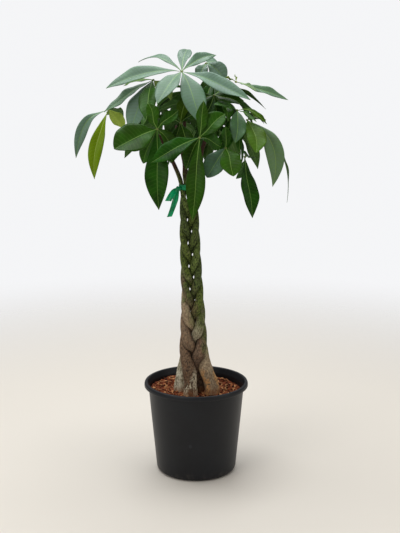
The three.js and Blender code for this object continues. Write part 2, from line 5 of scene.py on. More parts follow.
import bmesh
import bpy
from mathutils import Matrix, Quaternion, Vector, kdtree, noise


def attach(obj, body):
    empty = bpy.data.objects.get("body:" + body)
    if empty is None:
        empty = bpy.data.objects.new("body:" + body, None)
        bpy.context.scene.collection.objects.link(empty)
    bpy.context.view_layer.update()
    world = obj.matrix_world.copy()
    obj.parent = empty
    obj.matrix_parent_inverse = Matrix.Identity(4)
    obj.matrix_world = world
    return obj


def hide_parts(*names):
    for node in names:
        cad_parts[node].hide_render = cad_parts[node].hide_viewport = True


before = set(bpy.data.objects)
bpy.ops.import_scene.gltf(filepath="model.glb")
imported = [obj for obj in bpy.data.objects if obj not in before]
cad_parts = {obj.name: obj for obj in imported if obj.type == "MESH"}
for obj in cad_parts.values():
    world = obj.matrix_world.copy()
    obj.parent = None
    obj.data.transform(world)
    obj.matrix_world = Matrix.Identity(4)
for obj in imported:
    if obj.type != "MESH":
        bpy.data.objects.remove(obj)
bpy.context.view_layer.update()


# Camera: it stands 2.15 m in front of the plant at chest height and looks a little down, and its
# lens is that of the photograph, which is 400 pixels wide and 533 high.
CAMERA_PLACE = (0.0098, -2.150, 0.940)
LOOKS_DOWN = 10.77  # degrees
FOCAL_LENGTH, PICTURE_HEIGHT = 873, 533  # pixels of the photograph
SENSOR = 36  # millimetres on its long side, which stands upright
camera = bpy.data.objects.new("camera", bpy.data.cameras.new("camera"))
camera.location = CAMERA_PLACE
camera.rotation_euler = (math.radians(90 - LOOKS_DOWN), 0, 0)
camera.data.sensor_width = SENSOR
camera.data.lens = SENSOR * FOCAL_LENGTH / PICTURE_HEIGHT
camera.data.clip_end = 50
bpy.context.scene.collection.objects.link(camera)
bpy.context.scene.camera = camera


# Studio: a plain pale floor that fades into a pale room all round, and three large soft lights,
# the strongest overhead, because the upper leaves shine pale and the heart of the crown is dark.
ROOM_LIGHT, ROOM_SEEN = 0.34, 0.96  # how bright the room is to the plant, and as it is seen
FLOOR_SOLID, FLOOR_GONE = 0.7, 2.6  # metres from the plant where it starts to fade and is gone


def node(tree, kind, inputs=None, **settings):
    """A shader node. An input that is another node's socket is linked to it."""
    made = tree.nodes.new(kind)
    for name, value in settings.items():
        setattr(made, name, value)
    for name, value in (inputs or {}).items():
        if isinstance(value, bpy.types.NodeSocket):
            tree.links.new(value, made.inputs[name])
        else:
            made.inputs[name].default_value = value
    return made


def maths(tree, operation, *values):
    """A Math node's result."""
    return node(tree, "ShaderNodeMath", dict(enumerate(values)), operation=operation).outputs[0]


def product(tree, *values):
    """Values or masks multiplied together."""
    result = values[0]
    for value in values[1:]:
        result = maths(tree, "MULTIPLY", result, value)
    return result


def fade(tree, value, low, high):
    """0 below low and 1 above high, with a smooth change between them."""
    inputs = {"Value": value, "From Min": low, "From Max": high}
    made = node(tree, "ShaderNodeMapRange", inputs, interpolation_type="SMOOTHSTEP")
    return made.outputs["Result"]


def mixed(tree, share, first, second):
    """Two colours mixed by a share: 0 gives the first and 1 the second."""
    made = node(tree, "ShaderNodeMix", data_type="RGBA", clamp_factor=True)
    for socket, value in ((0, share), (6, first), (7, second)):
        if isinstance(value, bpy.types.NodeSocket):
            tree.links.new(value, made.inputs[socket])
        else:
            made.inputs[socket].default_value = value
    return made.outputs[2]


def colour(hexadecimal):
    """A colour as screens show it, such as 6b3d2a, turned into a linear one."""
    screen = [int(hexadecimal[i : i + 2], 16) / 255 for i in (0, 2, 4)]
    linear = [c / 12.92 if c <= 0.04045 else ((c + 0.055) / 1.055) ** 2.4 for c in screen]
    return (*linear, 1)


def object_place(tree):
    """The place of the shaded point on its object, in metres."""
    return node(tree, "ShaderNodeTexCoord").outputs["Object"]


def new_material(name):
    """A material with its node tree and its Principled BSDF."""
    made = bpy.data.materials.new(name)
    made.use_nodes = True
    return made, made.node_tree, made.node_tree.nodes["Principled BSDF"]


def area_light(name, place, aim, size, power, tint):
    """A soft rectangular light: places and sizes in metres, power in watts."""
    light = bpy.data.lights.new(name, "AREA")
    light.shape = "RECTANGLE"
    light.size, light.size_y = size
    light.energy = power
    light.color = tint
    lamp = bpy.data.objects.new(name, light)
    lamp.location = place
    lamp.rotation_euler = (Vector(aim) - Vector(place)).to_track_quat("-Z", "Y").to_euler()
    bpy.context.scene.collection.objects.link(lamp)


area_light("overhead", (-0.3, 0.5, 3.0), (0, 0, 0.8), (3.0, 2.4), 94, (0.93, 0.97, 1.0))
area_light("front left", (-1.9, -2.3, 1.9), (0, 0, 0.6), (1.8, 1.8), 24, (1.0, 0.98, 0.95))
area_light("right", (2.2, -1.2, 1.2), (0, 0, 0.5), (1.4, 1.6), 10, (1.0, 0.97, 0.93))
room = bpy.data.worlds.new("room")
room.use_nodes = True
seen = node(room.node_tree, "ShaderNodeLightPath").outputs["Is Camera Ray"]
strength = maths(room.node_tree, "MULTIPLY_ADD", seen, ROOM_SEEN - ROOM_LIGHT, ROOM_LIGHT)
background = room.node_tree.nodes["Background"]
background.inputs["Color"].default_value = (0.95, 0.955, 0.97, 1)
room.node_tree.links.new(strength, background.inputs["Strength"])
bpy.context.scene.world = room
bpy.context.scene.view_settings.view_transform = "Standard"

floor_material, tree, shader = new_material("floor")
shader.inputs["Base Color"].default_value = (0.74, 0.68, 0.60, 1)
shader.inputs["Roughness"].default_value = 0.6
away = node(tree, "ShaderNodeVectorMath", {0: object_place(tree)}, operation="LENGTH")
tree.links.new(fade(tree, away.outputs["Value"], FLOOR_GONE, FLOOR_SOLID), shader.inputs["Alpha"])
floor_mesh = bmesh.new()
bmesh.ops.create_grid(floor_mesh, x_segments=1, y_segments=1, size=8)
floor = bpy.data.objects.new("floor", bpy.data.meshes.new("floor"))
floor_mesh.to_mesh(floor.data)
floor_mesh.free()
floor.data.materials.append(floor_material)
bpy.context.scene.collection.objects.link(floor)


# Pot: an injection-moulded nursery pot of black polypropylene, its wall tapering to a rounded
# foot, its rim turned down as a thin lip. Six drainage holes go through its floor.
POT_HEIGHT, POT_FLOOR, POT_SIDES = 233, 3, 128
FOOT_ROUNDING, WALL_TOP = 12, 219  # heights between which the wall is straight
INNER_FOOT, INNER_SPREAD = 100.5, 19.5  # the inside's radius at its foot, and what it gains
DRAINS, DRAIN_RADIUS, DRAIN_RING = 6, 6, 62


def millimetres(bm):
    """Everything is drawn in millimetres and stands in metres."""
    bmesh.ops.scale(bm, vec=(0.001, 0.001, 0.001), verts=bm.verts)


def finished(bm, name, materials, cad_node, smooth=True):
    """A piece's mesh becomes an object that rides on the frame and stands for its CAD node."""
    millimetres(bm)
    piece = bpy.data.objects.new(name, bpy.data.meshes.new(name))
    bm.to_mesh(piece.data)
    bm.free()
    for material in materials:
        piece.data.materials.append(material)
    piece.data.polygons.foreach_set("use_smooth", [smooth] * len(piece.data.polygons))
    bpy.context.scene.collection.objects.link(piece)
    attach(piece, "root")
    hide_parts(cad_node)
    return piece


def turned(bm, profile, sides):
    """A profile of (radius, height) turned into a closed body about the pot's axis."""
    verts = [bm.verts.new((radius, 0, height)) for radius, height in profile]
    edges = [bm.edges.new(pair) for pair in zip(verts, verts[1:])]
    bmesh.ops.spin(
        bm,
        geom=verts + edges,
        cent=(0, 0, 0),
        axis=(0, 0, 1),
        angle=2 * math.pi,
        steps=sides,
        use_merge=True,
    )
    bmesh.ops.remove_doubles(bm, verts=bm.verts, dist=0.001)
    bmesh.ops.recalc_face_normals(bm, faces=bm.faces)


def rounded(start, corner, end, steps=6):
    """The points of a rounded corner, as a quadratic curve."""
    points = []
    for i in range(steps + 1):
        t = i / steps
        early, middle, late = (1 - t) ** 2, 2 * t * (1 - t), t * t
        points.append(
            tuple(early * a + middle * b + late * c for a, b, c in zip(start, corner, end))
        )
    return points


def inner_radius(height):
    """Half the width of the pot's inside, which tapers evenly."""
    return INNER_FOOT + INNER_SPREAD * height / WALL_TOP


bm = bmesh.new()
turned(
    bm,
    [
        # the flat underside and the rounded foot
        (0, 0),
        *rounded((86, 0), (92, 0), (92.5, 1.2), 3),
        *rounded((93, 1.3), (102.5, 1.6), (103, FOOT_ROUNDING)),
        # the wall
        (107.4, 60),
        (114.9, 139),
        *rounded((121.6, 214), (122, WALL_TOP), (122.6, 222), 3),
        # the lip: out under it, down inside it, and up and over it
        *rounded((123.4, 226), (124, 229), (126, 229), 3),
        *rounded((129, 229), (131.2, 229), (131.3, 227), 3),
        (131.4, 223),
        *rounded((131.6, 222.3), (132, 221.9), (132.5, 222.4), 3),
        *rounded((133, 223.4), (133, POT_HEIGHT), (129.6, POT_HEIGHT), 8),
        *rounded((126.4, POT_HEIGHT), (124.8, POT_HEIGHT), (124.4, 231.6), 4),
        # the inside, down to the floor
        (122.6, 225),
        *rounded((121, 220.5), (120.2, 218.5), (120, 216), 4),
        (inner_radius(120), 120),
        (inner_radius(16), 16),
        *rounded(
            (inner_radius(FOOT_ROUNDING), FOOT_ROUNDING), (99.5, POT_FLOOR), (89, POT_FLOOR), 5
        ),
        (0, POT_FLOOR),
    ],
    POT_SIDES,
)
drains = bmesh.new()
for i in range(DRAINS):
    bearing = math.radians(360 / DRAINS * (i + 0.5))
    made = bmesh.ops.create_cone(
        drains, cap_ends=True, segments=24, radius1=DRAIN_RADIUS, radius2=DRAIN_RADIUS, depth=12
    )
    there = Vector((math.cos(bearing), math.sin(bearing), 0)) * DRAIN_RING
    bmesh.ops.translate(drains, vec=there, verts=made["verts"])
millimetres(drains)
cutter = bpy.data.objects.new("drains", bpy.data.meshes.new("drains"))
drains.to_mesh(cutter.data)
drains.free()
bpy.context.scene.collection.objects.link(cutter)


def noise_at(tree, place, scale, detail, roughness=0.5):
    """Cloudy noise at a place."""
    inputs = {"Vector": place, "Scale": scale, "Detail": detail, "Roughness": roughness}
    return node(tree, "ShaderNodeTexNoise", inputs).outputs[0]


def uneven():
    """The group that keeps a surface from being one flat colour: two sizes of soft mottling."""
    group = bpy.data.node_groups.new("uneven tone", "ShaderNodeTree")
    for socket, value in (("Scale", 20), ("Height Stretch", 1)):
        made = group.interface.new_socket(socket, in_out="INPUT", socket_type="NodeSocketFloat")
        made.default_value = value
    for socket in ("Broad", "Fine"):
        group.interface.new_socket(socket, in_out="OUTPUT", socket_type="NodeSocketFloat")
    scale, height_stretch, _ = node(group, "NodeGroupInput").outputs
    stretch = node(group, "ShaderNodeCombineXYZ", {"X": 1, "Y": 1, "Z": height_stretch}).outputs[0]
    inputs = {0: object_place(group), 1: stretch}
    place = node(group, "ShaderNodeVectorMath", inputs, operation="MULTIPLY").outputs[0]
    out = node(group, "NodeGroupOutput")
    group.links.new(noise_at(group, place, scale, 4, 0.6), out.inputs[0])
    group.links.new(noise_at(group, place, product(group, scale, 9), 6, 0.65), out.inputs[1])
    return group


uneven_tone = uneven()


def mottling(tree, scale, stretch=1):
    """The broad and the fine mottling of a surface."""
    made = node(tree, "ShaderNodeGroup", node_tree=uneven_tone)
    made.inputs[0].default_value = scale
    made.inputs[1].default_value = stretch
    return made.outputs[0], made.outputs[1]


def relief(tree, shader, height, strength, distance):
    """Bumps too fine for the mesh."""
    inputs = {"Height": height, "Strength": strength, "Distance": distance}
    tree.links.new(node(tree, "ShaderNodeBump", inputs).outputs[0], shader.inputs["Normal"])


def rough_between(tree, value, smoothest, roughest):
    """A roughness that follows a mottling."""
    inputs = {"Value": value, "To Min": smoothest, "To Max": roughest}
    return node(tree, "ShaderNodeMapRange", inputs).outputs[0]


pot_plastic, tree, shader = new_material("pot plastic")
broad, fine = mottling(tree, 9)
_, _, height = node(tree, "ShaderNodeSeparateXYZ", {0: object_place(tree)}).outputs
base = mixed(tree, fade(tree, broad, 0.3, 0.7), colour("111216"), colour("17191d"))
dust = product(tree, fade(tree, height, 0.03, 0), fade(tree, fine, 0.45, 0.7), 0.35)
base = mixed(tree, dust, base, colour("57514a"))
scuffs = product(tree, fade(tree, noise_at(tree, object_place(tree), 38, 8), 0.68, 0.75), 0.25)
base = mixed(tree, scuffs, base, colour("3a3d42"))
tree.links.new(base, shader.inputs["Base Color"])
tree.links.new(rough_between(tree, broad, 0.34, 0.52), shader.inputs["Roughness"])
shader.inputs["Specular IOR Level"].default_value = 0.26
relief(tree, shader, fine, 0.12, 0.0004)
pot = finished(bm, "nursery_pot", [pot_plastic], "pot")
drilling = pot.modifiers.new("drainage holes", "BOOLEAN")
drilling.object = cutter
drilling.operation = "DIFFERENCE"
bpy.context.view_layer.update()
drilled = bpy.data.meshes.new_from_object(pot.evaluated_get(bpy.context.evaluated_depsgraph_get()))
pot.modifiers.clear()
pot.data = drilled
bpy.data.objects.remove(cutter)


# Soil: damp reddish coir with chips of bark, heaped a little round the trunks and uneven. It is
# one loose filling, so its chips and fibres are one mesh with it.
SOIL_LEVEL, SOIL_BOTTOM = 205, 3.3
SOIL_GAP = 0.8  # between the soil and the pot's wall
SOIL_EDGE = inner_radius(SOIL_LEVEL) - SOIL_GAP
SOIL_HEAP, SOIL_SLOPE = 2, (-0.04, 0.05)
SOIL_RINGS, SOIL_SIDES = 46, 160
BODY_TONE = 0.4  # from 0, the darkest coir, to 1, the palest
CHIPS, FIBRE_SHARE = 1400, 0.45
FIBRE = ((5, 12), (0.8, 1.5), (0.6, 1.1))  # least and most of its length, width and thickness
CRUMB = ((2.2, 6.2), (1.8, 4.4), (1.2, 2.6))


def soil_height(x, y):
    """The top of the soil: a low heap that slopes, with slow waves and crumbs of two sizes."""
    outward = min(1, math.hypot(x, y) / SOIL_EDGE)
    heap = SOIL_HEAP * math.cos(outward * math.pi / 2) ** 2
    slope = SOIL_SLOPE[0] * x + SOIL_SLOPE[1] * y
    wave = math.sin(x * 0.09 + 1) * math.cos(y * 0.08) + math.sin((x + y) * 0.05)
    crumbs = 2.6 * noise.noise(Vector((x, y, 0)) / 9) + 1.6 * noise.noise(Vector((x, y, 40)) / 3.5)
    return SOIL_LEVEL + heap + slope + wave + crumbs


def faces_of(verts):
    """The faces round some vertices, each of them once."""
    return list(dict.fromkeys(face for vert in verts for face in vert.link_faces))


def toned(faces, layer, tone):
    """Stores a colour on faces for their material to read."""
    for face in faces:
        for loop in face.loops:
            loop[layer] = tone


def grey(shade):
    """A shade as a colour, which is read as one value."""
    return shade, shade, shade, 1


chance = random.Random(7)
bm = bmesh.new()
bottom = [(0, SOIL_BOTTOM), (88, SOIL_BOTTOM)]
bottom += rounded((92, 3.6), (99, 4), (inner_radius(FOOT_ROUNDING) - SOIL_GAP, 14))
top = [(SOIL_EDGE * (1 - i / SOIL_RINGS), SOIL_LEVEL + 1) for i in range(SOIL_RINGS + 1)]
turned(bm, [*bottom, (SOIL_EDGE, SOIL_LEVEL), *top], SOIL_SIDES)
for vert in bm.verts:
    if vert.co.z > SOIL_LEVEL + 0.5:
        vert.co.z = soil_height(vert.co.x, vert.co.y)
tone = bm.loops.layers.float_color.new("tone")
toned(bm.faces, tone, grey(BODY_TONE))
for _ in range(CHIPS):
    bearing = chance.uniform(0, 2 * math.pi)
    radius = SOIL_EDGE * math.sqrt(chance.uniform(0, 0.93))
    x, y = radius * math.cos(bearing), radius * math.sin(bearing)
    kind = FIBRE if chance.random() < FIBRE_SHARE else CRUMB
    size = [chance.uniform(*limits) for limits in kind]
    heading, tilt = chance.uniform(0, 2 * math.pi), chance.uniform(-0.5, 0.5)
    turn = Quaternion((0, 0, 1), heading) @ Quaternion((0, 1, 0), tilt)
    centre = Vector((x, y, soil_height(x, y) + chance.uniform(-0.4, 1.6)))
    chip = bmesh.ops.create_icosphere(bm, subdivisions=1, radius=1)["verts"]
    for vert in chip:
        rough = 1 + 0.3 * noise.noise(vert.co * 1.7 + centre)
        vert.co = turn @ Vector([c * d * rough for c, d in zip(vert.co, size)]) + centre
    toned(faces_of(chip), tone, grey(chance.random()))

coir, tree, shader = new_material("coir")
_, fine = mottling(tree, 60)
stored = node(tree, "ShaderNodeAttribute", attribute_name="tone").outputs["Color"]
speckle = product(tree, maths(tree, "SUBTRACT", fine, 0.5), 0.9)
ramp = node(tree, "ShaderNodeValToRGB", {"Fac": maths(tree, "ADD", stored, speckle)})
stops = ramp.color_ramp.elements
stops[0].position, stops[1].position = 0.05, 0.95
stops[0].color, stops[1].color = colour("241008"), colour("d09a68")
for position, shade in ((0.35, "66301a"), (0.65, "9c5430")):
    stops.new(position).color = colour(shade)
tree.links.new(ramp.outputs[0], shader.inputs["Base Color"])
shader.inputs["Roughness"].default_value = 0.92
shader.inputs["Specular IOR Level"].default_value = 0.2
relief(tree, shader, fine, 0.8, 0.002)
finished(bm, "coir_soil", [coir], "soil", smooth=False)


# Trunks: five young trunks of one clump, plaited while they were green, which have thickened
# until they press each other flat. Corky grey-brown bark at the foot turns mossy green higher up.
TRUNKS, TRUNK_ROWS, TRUNK_COLUMNS = 5, 240, 36
TRUNK_FOOT, PLAIT_FOOT, TIE_HEIGHT, SHOOTS_APART = 148, 310, 731, 745
TURN, LEFT_HOLE = 292, 591  # how high one whole turn of the plait is, and where its left side opens
UNWINDING_BELOW, UNWINDING_ABOVE = 60, 40
PLAIT_DEPTH, SHOOT_BEND = 1.15, 1.2

# Rows of heights and values: a trunk's thickness, the plait's half width and how far it leans, and
# by what share the bark swells into the gaps between the trunks
THICKNESS = [(140, 34), (205, 31.5), (250, 26), (300, 19.8), (450, 15.2)]
THICKNESS += [(620, 13.6), (731, 11.4), (800, 9.5), (960, 6.5)]
HALF_WIDTH = [(300, 26.2), (450, 20.4), (620, 18), (731, 15.3)]
LEAN = [(205, -4), (445, -8.6), (573, -14.5), (731, -19)]
PRESSED = [(235, 0.05), (270, 0.55), (430, 0.48), (470, 0.32), (680, 0.28), (716, 0)]

# Each trunk's place in the soil, its swelling there against the others, and its shoot's tip
FEET = [(-16, -32), (-42, -4), (9, 1), (41, -14), (5, 33)]
SWELLING = [1.08, 0.95, 0.9, 1.24, 0.9]
SWOLLEN_BELOW, SLIM_BEFORE = 330, 230
TIPS = [(22, -46, 850), (38, 26, 885), (-28, -5, 935), (-90, -12, 860), (-50, 50, 880)]

# Each trunk's bark: two tones at its foot, two mossy tones above, and the colour of its flaking
# patches with the mottling from which they show
BARKS = [
    (("45352a", "8a6f55"), ("2d3414", "6d7c36"), "e4d8b8", 0.44),
    (("756b54", "b8ae92"), ("2c3314", "687830"), "ddd5bb", 0.48),
    (("4c3d31", "8f765f"), ("2a3018", "647434"), "9d8a70", 0.60),
    (("7d6a53", "bba585"), ("313a18", "748642"), "dba56a", 0.48),
    (("5f4e40", "987f63"), ("2a3116", "62723a"), "9d9078", 0.56),
]


def between(a, b, share):
    """The value that lies a share of the way from a to b."""
    return a + (b - a) * share


def clamped(value):
    """A value kept between 0 and 1."""
    return max(0, min(1, value))


def eased(value, low, high):
    """0 below low and 1 above high, with a smooth change between them."""
    share = clamped((value - low) / (high - low))
    return share * share * (3 - 2 * share)


def value_at(table, height):
    """A value from a table of heights and values, with straight lines between them."""
    if height <= table[0][0]:
        return table[0][1]
    for (low, a), (high, b) in zip(table, table[1:]):
        if height < high:
            return between(a, b, (height - low) / (high - low))
    return table[-1][1]


def winding_height(height):
    """The height that the winding has reached: it slows to a stop below and above the plait."""
    if height < PLAIT_FOOT:
        below = min(PLAIT_FOOT - height, UNWINDING_BELOW)
        return PLAIT_FOOT - below + below**2 / (2 * UNWINDING_BELOW)
    if height > TIE_HEIGHT:
        above = min(height - TIE_HEIGHT, UNWINDING_ABOVE)
        return TIE_HEIGHT + above - above**2 / (2 * UNWINDING_ABOVE)
    return height


def plait_point(trunk, height):
    """A trunk's place on the figure of eight that the plait makes, seen from above."""
    angle = math.radians(18 + 72 * (trunk - 2) + 360 * (height - LEFT_HOLE) / TURN)
    x = value_at(LEAN, height) + value_at(HALF_WIDTH, height) * math.sin(angle)
    return Vector((x, -PLAIT_DEPTH * value_at(THICKNESS, height) * math.sin(2 * angle), 0))


def trunk_point(trunk, height):
    """A trunk's centre at a height, from its foot in the soil to the tip of its shoot."""
    centre = plait_point(trunk, winding_height(height))
    if height < PLAIT_FOOT:
        apart = eased(PLAIT_FOOT - height, 0, PLAIT_FOOT - SOIL_LEVEL)
        foot = plait_point(trunk, winding_height(SOIL_LEVEL))
        centre += (Vector((*FEET[trunk], 0)) - foot) * apart
    if height > TIE_HEIGHT:
        x, y, tip = TIPS[trunk]
        apart = ((height - TIE_HEIGHT) / (tip - TIE_HEIGHT)) ** SHOOT_BEND
        centre += (Vector((x, y, 0)) - plait_point(trunk, winding_height(tip))) * apart
    centre.z = height
    return centre


def trunk_radius(trunk, height):
    """Half a trunk's thickness, before it is pressed."""
    swollen = clamped((SWOLLEN_BELOW - height) / (SWOLLEN_BELOW - SLIM_BEFORE))
    return value_at(THICKNESS, height) / 2 * between(1, SWELLING[trunk], swollen)


def bark_relief(trunk, height, bearing, place):
    """Furrows, knobs and flutes, which are deepest near the foot."""
    low = 1 - eased(height, SLIM_BEFORE, SWOLLEN_BELOW)
    furrow = noise.noise(Vector((place.x / 5, place.y / 5, height / 16 + 9 * trunk)))
    knobs = noise.noise(Vector((place.x / 14, place.y / 14, height / 22 + 30 * trunk)))
    flutes = math.cos(3 * bearing + 2.1 * trunk) + 0.6 * math.cos(5 * bearing + 1.3 * trunk)
    deep = 1.4 * flutes * (1 - eased(height, 220, 290))
    return between(0.3, 1.1, low) * furrow + between(0.4, 1.5, low) * knobs + deep


def bark_point(trunk, height, bearing):
    """A point of a trunk's bark, which stops halfway to any trunk that it is pressed against."""
    centre = trunk_point(trunk, height)
    along = (trunk_point(trunk, height + 1) - trunk_point(trunk, height - 1)).normalized()
    way = Vector((math.cos(bearing), math.sin(bearing), 0))
    radius = trunk_radius(trunk, height)
    aside = (centre.x - value_at(LEAN, height)) / value_at(HALF_WIDTH, height)
    pressed = 1 + value_at(PRESSED, height) * (1 - 0.75 * clamped(way.x * aside))
    slant = math.sqrt(max(0.3, 1 - way.dot(along) ** 2))
    reach = radius * pressed / slant
    for other in range(TRUNKS):
        if other == trunk or height > SHOOTS_APART:
            continue
        towards = trunk_point(other, height) - centre
        facing = way.dot(towards.normalized())
        if facing > 0.05:
            share = radius / (radius + trunk_radius(other, height))
            reach = min(reach, share * towards.length / facing - 0.1)
    reach += bark_relief(trunk, height, bearing, centre + way * radius)
    return centre + way * max(reach, 0.55 * radius)


def trunk_surface(trunk, u, v):
    """A trunk with rounded ends: u goes round it and v from its foot to its shoot's tip."""
    top = TIPS[trunk][2]
    height = between(TRUNK_FOOT, top, v)
    point = bark_point(trunk, height, 2 * math.pi * u)
    closing = min(1, math.sqrt(max(0, min(top - height, height - TRUNK_FOOT) / 4)))
    centre = trunk_point(trunk, height)
    return centre + (point - centre) * closing


def sheet_grid(bm, across, along, place):
    """A grid with its UVs whose every point is put where place(u, v) says, both from 0 to 1."""
    made = bmesh.ops.create_grid(bm, x_segments=across, y_segments=along, size=0.5, calc_uvs=True)
    for vert in made["verts"]:
        vert.co = place(vert.co.x + 0.5, vert.co.y + 0.5)
    return made["verts"]


def bark(name, low_tones, high_tones, flake_tone, flakes_from):
    """Bark: low_tones at the foot, high_tones above, with flaking patches on the lowest part."""
    made, tree, shader = new_material(name)
    broad, fine = mottling(tree, 38, 0.45)
    spot, grain = mottling(tree, 130, 0.6)
    x, _, height = node(tree, "ShaderNodeSeparateXYZ", {0: object_place(tree)}).outputs
    streaks = fade(tree, fine, 0.38, 0.62)
    lower = mixed(tree, streaks, *map(colour, low_tones))
    lower = mixed(tree, product(tree, fade(tree, spot, 0.55, 0.7), 0.5), lower, colour("8d5c3c"))
    upper = mixed(tree, streaks, *map(colour, high_tones))
    slope = maths(tree, "MULTIPLY_ADD", x, 2.4, height)
    wander = maths(tree, "MULTIPLY_ADD", broad, 0.3, -0.15)
    mossy = fade(tree, maths(tree, "ADD", slope, wander), 0.34, 0.47)
    shaded = mixed(tree, mossy, lower, upper)
    scars = product(tree, fade(tree, spot, 0.66, 0.71), fade(tree, grain, 0.42, 0.6), 0.6)
    shaded = mixed(tree, scars, shaded, colour("b5a98a"))
    patches = fade(tree, broad, flakes_from, flakes_from + 0.06)
    flakes = product(tree, patches, fade(tree, height, 0.285, 0.25), fade(tree, fine, 0.42, 0.52))
    shaded = mixed(tree, flakes, shaded, colour(flake_tone))
    pits = product(tree, fade(tree, grain, 0.45, 0.33), 0.8)
    shaded = mixed(tree, pits, shaded, colour("1d1a12"))
    shoot = mixed(tree, fine, colour("2e1f18"), colour("54382c"))
    shaded = mixed(tree, fade(tree, height, 0.735, 0.79), shaded, shoot)
    earthy = product(tree, fade(tree, height, 0.226, 0.212), 0.6)
    shaded = mixed(tree, earthy, shaded, colour("8a5a34"))
    tree.links.new(shaded, shader.inputs["Base Color"])
    shader.inputs["Roughness"].default_value = 0.85
    shader.inputs["Specular IOR Level"].default_value = 0.25
    relief(tree, shader, maths(tree, "ADD", fine, maths(tree, "ADD", broad, grain)), 0.9, 0.0016)
    return made


for trunk, tones in enumerate(BARKS):
    bm = bmesh.new()
    bm.loops.layers.uv.new("UVMap")
    sheet_grid(bm, TRUNK_COLUMNS, TRUNK_ROWS, partial(trunk_surface, trunk))
    bmesh.ops.remove_doubles(bm, verts=bm.verts, dist=0.001)
    bmesh.ops.recalc_face_normals(bm, faces=bm.faces)
    name = f"trunk_{trunk + 1}"
    finished(bm, name, [bark(f"bark {trunk + 1}", *tones)], f"stem_{trunk + 1}")


# Tape: flat emerald garden tape drawn round the five trunks below the crown and knotted at its
# left, where its two ends hang. It is thin glossy plastic film, stretched and creased lengthways.
TAPE_HALF_WIDTH, TAPE_THICKNESS = 7, 0.35
TAPE_TURNS = [(-6.5, 4.5), (-4.2, 6.5)]  # each turn's lower and upper edge, from the tie's height
PLAIT_MIDDLE = value_at(LEAN, TIE_HEIGHT)
KNOT, KNOT_SIZE = Vector((-43, -15, 728)), (6.6, 4.6, 6.4)
TAPE_ENDS = [
    (KNOT, Vector((-56, -25, 724)), Vector((-68, -30, 699))),
    (KNOT, Vector((-50, -27, 700)), Vector((-65, -34, 661))),
]


def quadratic(points, t):
    """A point of a curve from the first of three points to the last, drawn to the second."""
    a, b, c = points
    return a * (1 - t) ** 2 + b * (2 * t * (1 - t)) + c * t * t


def quadratic_way(points, t):
    """The way that such a curve runs."""
    a, b, c = points
    return ((b - a) * (1 - t) + (c - b) * t).normalized()


def thickened(bm, verts, thickness):
    """Gives a sheet its thickness, and puts out the faces of its underside and its edges."""
    bm.normal_update()
    before = set(bm.faces)
    bmesh.ops.solidify(bm, geom=faces_of(verts), thickness=thickness)
    return [face for face in bm.faces if face not in before]


def trunks_support(bearing):
    """How far the trunks reach in a direction at the tape."""
    reaches = []
    for trunk in range(TRUNKS):
        for height in (TIE_HEIGHT - 5, TIE_HEIGHT, TIE_HEIGHT + 5):
            centre = trunk_point(trunk, height)
            along = (centre.x - PLAIT_MIDDLE) * math.cos(bearing) + centre.y * math.sin(bearing)
            reaches.append(along + trunk_radius(trunk, height) + 0.9)
    return max(reaches)


BEARINGS = [math.radians(3 * i) for i in range(120)]
SUPPORTS = [(bearing, trunks_support(bearing)) for bearing in BEARINGS]


def tape_reach(bearing):
    """How far the tight tape is from the middle of the plait."""
    facing = [(support, math.cos(other - bearing)) for other, support in SUPPORTS]
    return min(support / cosine for support, cosine in facing if cosine > 0.2)


def tape_turn(winding, lower, upper, u, v):
    """One turn of the tape: u goes round the trunks and v from its lower to its upper edge."""
    bearing = 2 * math.pi * u
    crease = 0.25 * math.sin(v * 9 + math.sin(bearing * 3))
    crease += 0.2 * math.sin(bearing * 11 + v * 4)
    reach = tape_reach(bearing) + 0.4 * winding + max(0, crease)
    height = TIE_HEIGHT + between(lower, upper, v) + 0.7 * math.sin(bearing + 2 * winding)
    return Vector((PLAIT_MIDDLE + reach * math.cos(bearing), reach * math.sin(bearing), height))


def tape_end(end, points, u, v):
    """A hanging end: u goes across it and v from the knot to its tip, which is cut slanting."""
    way = quadratic_way(points, v)
    side = way.cross(Vector((0, -1, 0))).normalized()
    side = Quaternion(way, 0.5 * math.sin(2.4 * v + 2 * end) - 0.2) @ side
    half = TAPE_HALF_WIDTH * min(1, 0.35 + 1.6 * v)
    across = 2 * u - 1
    fold = 1.1 * abs(across) ** 1.5 * (1 - v) + 0.5 * math.sin(5 * across + 4 * v + end)
    slant = 3 * across if v > 0.999 else 0
    centre = quadratic(points, v) + way * slant
    return centre + side * half * across + side.cross(way) * (fold + 0.6 * end)


bm = bmesh.new()
bm.loops.layers.uv.new("UVMap")
for winding, edges in enumerate(TAPE_TURNS):
    verts = sheet_grid(bm, 96, 8, partial(tape_turn, winding, *edges))
    bmesh.ops.remove_doubles(bm, verts=verts, dist=0.001)
    thickened(bm, [vert for vert in verts if vert.is_valid], TAPE_THICKNESS)
for end, points in enumerate(TAPE_ENDS):
    thickened(bm, sheet_grid(bm, 14, 26, partial(tape_end, end, points)), TAPE_THICKNESS)
knot = bmesh.ops.create_uvsphere(bm, u_segments=28, v_segments=16, radius=1)["verts"]
for vert in knot:
    x, y, z = vert.co
    pleat = 1 + 0.1 * math.sin(9 * math.atan2(z, y) + 4 * x)
    pinch = 1 - 0.25 * math.exp(-((x / 0.25) ** 2))
    shape = (x, y * pleat * pinch, z * pleat * pinch)
    vert.co = KNOT + Vector([c * d for c, d in zip(shape, KNOT_SIZE)])
bmesh.ops.recalc_face_normals(bm, faces=bm.faces)

